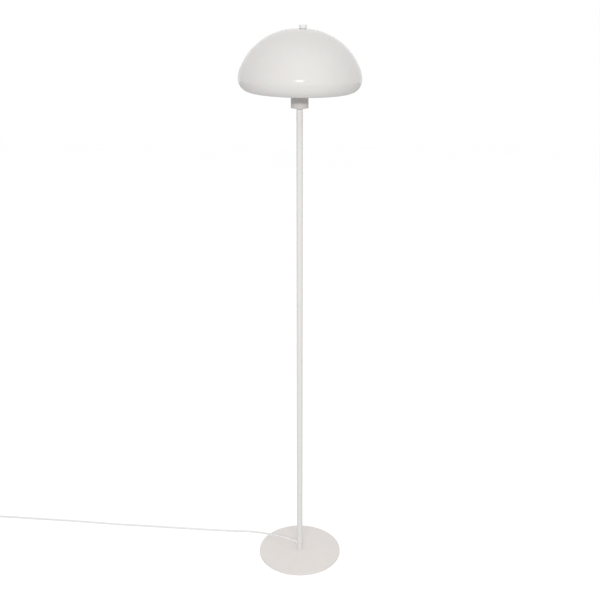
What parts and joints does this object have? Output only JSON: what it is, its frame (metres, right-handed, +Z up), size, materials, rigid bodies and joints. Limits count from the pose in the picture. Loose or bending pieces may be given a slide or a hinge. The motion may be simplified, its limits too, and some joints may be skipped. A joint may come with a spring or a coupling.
{
  "type": "mushroom floor lamp",
  "caption": "Floor lamp with a flat round base, a slim straight pole and a glossy white mushroom shade held on a harp by a knob; mains lead with a foot switch and plug.",
  "frame": {"origin": "middle of the underside of the base, on the floor", "axes": "+Z up along the pole, -Y to the front, the lead leaves towards -X and a little towards +Y"},
  "size_m": [1.3256, 0.4113, 1.5009],
  "materials": {
    "felt": "felt",
    "base_coat": "satin powder coat",
    "pole_coat": "satin powder coat",
    "cup_coat": "satin powder coat",
    "zinc_screw": "zinc plated",
    "zinc_insert": "zinc plated",
    "zinc_nipple": "yellow zinc plated",
    "lead_sheath": "satin",
    "core_brown": "satin",
    "core_blue": "satin",
    "relief_rubber": "satin",
    "holder_resin": "satin",
    "core_resin": "matt",
    "contact_brass": "rolled",
    "thread_metal": "nickel washed",
    "shade_opal": "glossy opal",
    "harp_coat": "satin powder coat",
    "seat_rubber": "matt",
    "knob_coat": "gloss coat",
    "bulb_metal": "rolled thread",
    "bulb_resin": "satin",
    "bulb_black": "glossy",
    "bulb_opal": "frosted opal",
    "board_fibre": "solder resist",
    "switch_resin": "fine grain",
    "button_resin": "satin gloss",
    "spring_steel": "drawn wire",
    "plug_resin": "moulded satin",
    "pin_nickel": "nickel plated"
  },
  "bodies": {
    "stand": {"floor_pad": "felt", "base_plate": "base_coat", "base_screw": "zinc_screw", "foot_insert": "zinc_insert", "pole_lower": "pole_coat", "pole_middle": "pole_coat", "pole_upper": "pole_coat", "lower_joint_insert": "zinc_insert", "middle_foot_insert": "zinc_insert", "middle_top_insert": "zinc_insert", "upper_foot_insert": "zinc_insert", "head_insert": "zinc_insert", "lower_joint_nipple": "zinc_nipple", "upper_joint_nipple": "zinc_nipple", "head_nipple": "zinc_nipple", "cord_relief": "relief_rubber", "inner_lead": "lead_sheath", "lead_wire_live": "core_brown", "lead_wire_neutral": "core_blue", "socket_cup": "cup_coat", "cup_lock_nut": "zinc_insert", "holder_cap": "holder_resin", "holder_core": "core_resin", "centre_contact": "contact_brass", "side_contact": "contact_brass", "terminal_screws": "zinc_screw", "holder_skirt": "holder_resin", "thread_sleeve": "thread_metal", "shade_ring": "holder_resin", "harp": "harp_coat", "seat_washer": "seat_rubber", "cord_run": "lead_sheath", "switch_base": "switch_resin", "switch_cover": "switch_resin", "button_spring": "spring_steel", "switch_terminals": "contact_brass", "switch_screws": "zinc_screw", "switch_wires": "core_brown", "cord_tail": "lead_sheath", "cord_coil": "lead_sheath", "cord_end": "lead_sheath", "plug_body": "plug_resin", "plug_pins": "pin_nickel"},
    "shade": {"shade": "shade_opal"},
    "finial": {"finial": "knob_coat", "finial_washer": "seat_rubber"},
    "bulb": {"bulb_contact": "bulb_metal", "bulb_insulator": "bulb_black", "bulb_cap": "bulb_metal", "bulb_body": "bulb_resin", "bulb_driver": "board_fibre", "bulb_board": "board_fibre", "bulb_dome": "bulb_opal"},
    "switch_button": {"switch_button": "button_resin"}
  },
  "joints": [
    {"name": "shade_lift", "type": "slide", "parent": "stand", "child": "shade", "axis": [0.014, 0, 0.9999], "range_m": [0, 0.165]},
    {"name": "finial_turn", "type": "hinge", "parent": "shade", "child": "finial", "pos_m": [0.008, 0, 1.492], "axis": [0.014, 0, 0.9999], "range_deg": [0, 1980]},
    {"name": "bulb_turn", "type": "hinge", "parent": "stand", "child": "bulb", "pos_m": [0, 0, 1.4], "axis": [0, 0, 1], "range_deg": [0, 1800]},
    {"name": "switch_press", "type": "slide", "parent": "stand", "child": "switch_button", "axis": [0, 0, -1], "range_m": [0, 0.003], "stiffness_N_per_m": 500, "springref_m": -0.003, "deforming": ["button_spring"]}
  ]
}
